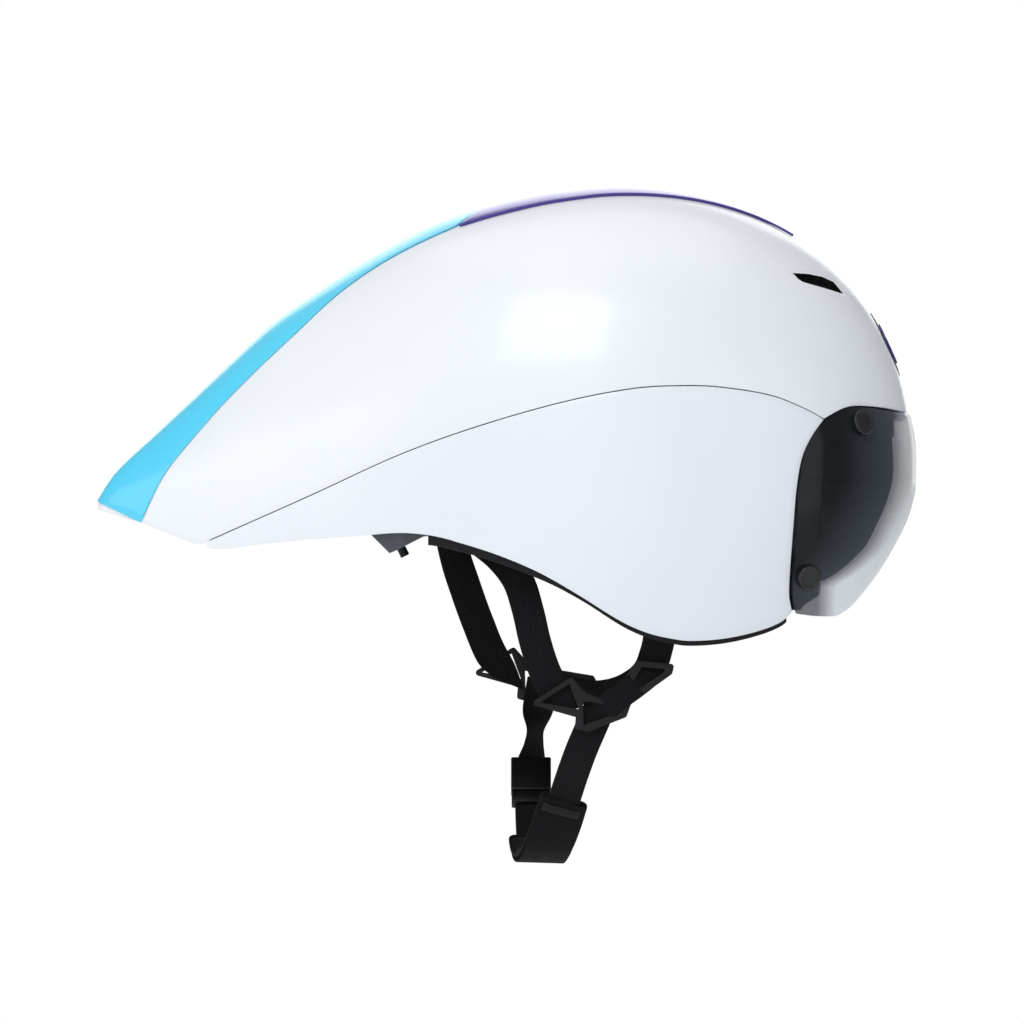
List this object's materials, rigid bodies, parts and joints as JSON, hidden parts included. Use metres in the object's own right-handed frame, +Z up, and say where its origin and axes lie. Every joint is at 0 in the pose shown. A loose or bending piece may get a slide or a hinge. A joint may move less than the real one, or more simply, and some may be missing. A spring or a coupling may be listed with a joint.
{
  "type": "aero time trial helmet",
  "caption": "Long-tailed aero time trial helmet with hard shells over a foam liner, a tinted pull-off visor on magnets, a dial-adjusted nape cradle and webbing straps.",
  "frame": {"origin": "centre of the wearer's head on the plane of the head belts", "axes": "+X forwards towards the visor, +Y to the wearer's left, +Z up"},
  "size_m": [0.4105, 0.204, 0.3378],
  "materials": {
    "shell_white": "satin moulded skin",
    "film_cyan": "coloured film",
    "cover_violet": "gloss",
    "black_plastic": "fine grain",
    "grey_plastic": "fine grain",
    "foam_black": "bead foam",
    "trim_black": "matt",
    "belt_plastic": "smooth",
    "lens_smoke": "light smoke tint",
    "shade_dark": "dark tint",
    "plated_steel": "zinc or nickel plate",
    "webbing": "woven",
    "pad_cloth": "knitted over foam"
  },
  "bodies": {
    "helmet": {"upper_shell": "shell_white", "lower_shell_right": "shell_white", "lower_shell_left": "shell_white", "tail_film": "film_cyan", "crown_cover": "cover_violet", "brow_vent_frame": "black_plastic", "brow_vent_plate": "cover_violet", "foam_front_right": "foam_black", "foam_front_left": "foam_black", "foam_rear_right": "foam_black", "foam_rear_left": "foam_black", "edge_trim_right": "trim_black", "edge_trim_left": "trim_black", "visor_seat": "black_plastic", "strike_discs": "plated_steel", "brow_pad": "pad_cloth", "crown_pad_right": "pad_cloth", "crown_pad_left": "pad_cloth", "temple_pad_right": "pad_cloth", "temple_pad_left": "pad_cloth", "cradle_body": "grey_plastic", "cradle_bracket": "grey_plastic", "cradle_screws": "plated_steel", "nape_pad": "pad_cloth", "head_belt_right": "belt_plastic", "head_belt_left": "belt_plastic", "belt_pins": "black_plastic", "button_spring": "plated_steel", "strap_anchors": "black_plastic", "rear_strap_right": "webbing", "front_strap_right": "webbing", "rear_strap_left": "webbing", "front_strap_left": "webbing", "chin_strap_left": "webbing", "strap_divider_right": "black_plastic", "strap_divider_left": "black_plastic", "buckle_socket": "black_plastic", "chin_strap_right": "webbing"},
    "visor": {"visor_lens": "lens_smoke", "visor_shade_right": "shade_dark", "visor_shade_left": "shade_dark", "magnet_caps": "black_plastic", "visor_magnets": "plated_steel"},
    "dial": {"fit_dial": "black_plastic", "drive_pinion": "black_plastic"},
    "rack_right": {"belt_rack_right": "black_plastic"},
    "rack_left": {"belt_rack_left": "black_plastic"},
    "button": {"release_button": "black_plastic"},
    "buckle": {"buckle_tongue": "black_plastic", "chin_pad": "pad_cloth"}
  },
  "joints": [
    {"name": "visor_pull", "type": "slide", "parent": "helmet", "child": "visor", "axis": [1, 0, 0], "range_m": [0, 0.08]},
    {"name": "dial_turn", "type": "hinge", "parent": "helmet", "child": "dial", "pos_m": [-0.14, 0, -0.03793], "axis": [1, 0, 0], "range_deg": [0, 143.3]},
    {"name": "rack_right_slide", "type": "slide", "parent": "helmet", "child": "rack_right", "axis": [0, 1, 0], "range_m": [0, 0.01], "deforming": ["head_belt_right"]},
    {"name": "rack_left_slide", "type": "slide", "parent": "helmet", "child": "rack_left", "axis": [0, -1, 0], "range_m": [0, 0.01], "deforming": ["head_belt_left"]},
    {"name": "button_press", "type": "slide", "parent": "helmet", "child": "button", "axis": [-0.454, 0, 0.891], "range_m": [0, 0.0015], "stiffness_N_per_m": 400, "springref_m": -0.002, "deforming": ["button_spring"]},
    {"name": "buckle_draw", "type": "slide", "parent": "helmet", "child": "buckle", "axis": [0, -0.5878, -0.809], "range_m": [0, 0.02], "deforming": ["chin_strap_right"]}
  ],
  "couplings": [
    {"joint": "dial_turn", "follows": "rack_right_slide", "rad_per_m": 250},
    {"joint": "rack_left_slide", "follows": "rack_right_slide", "ratio": 1}
  ]
}
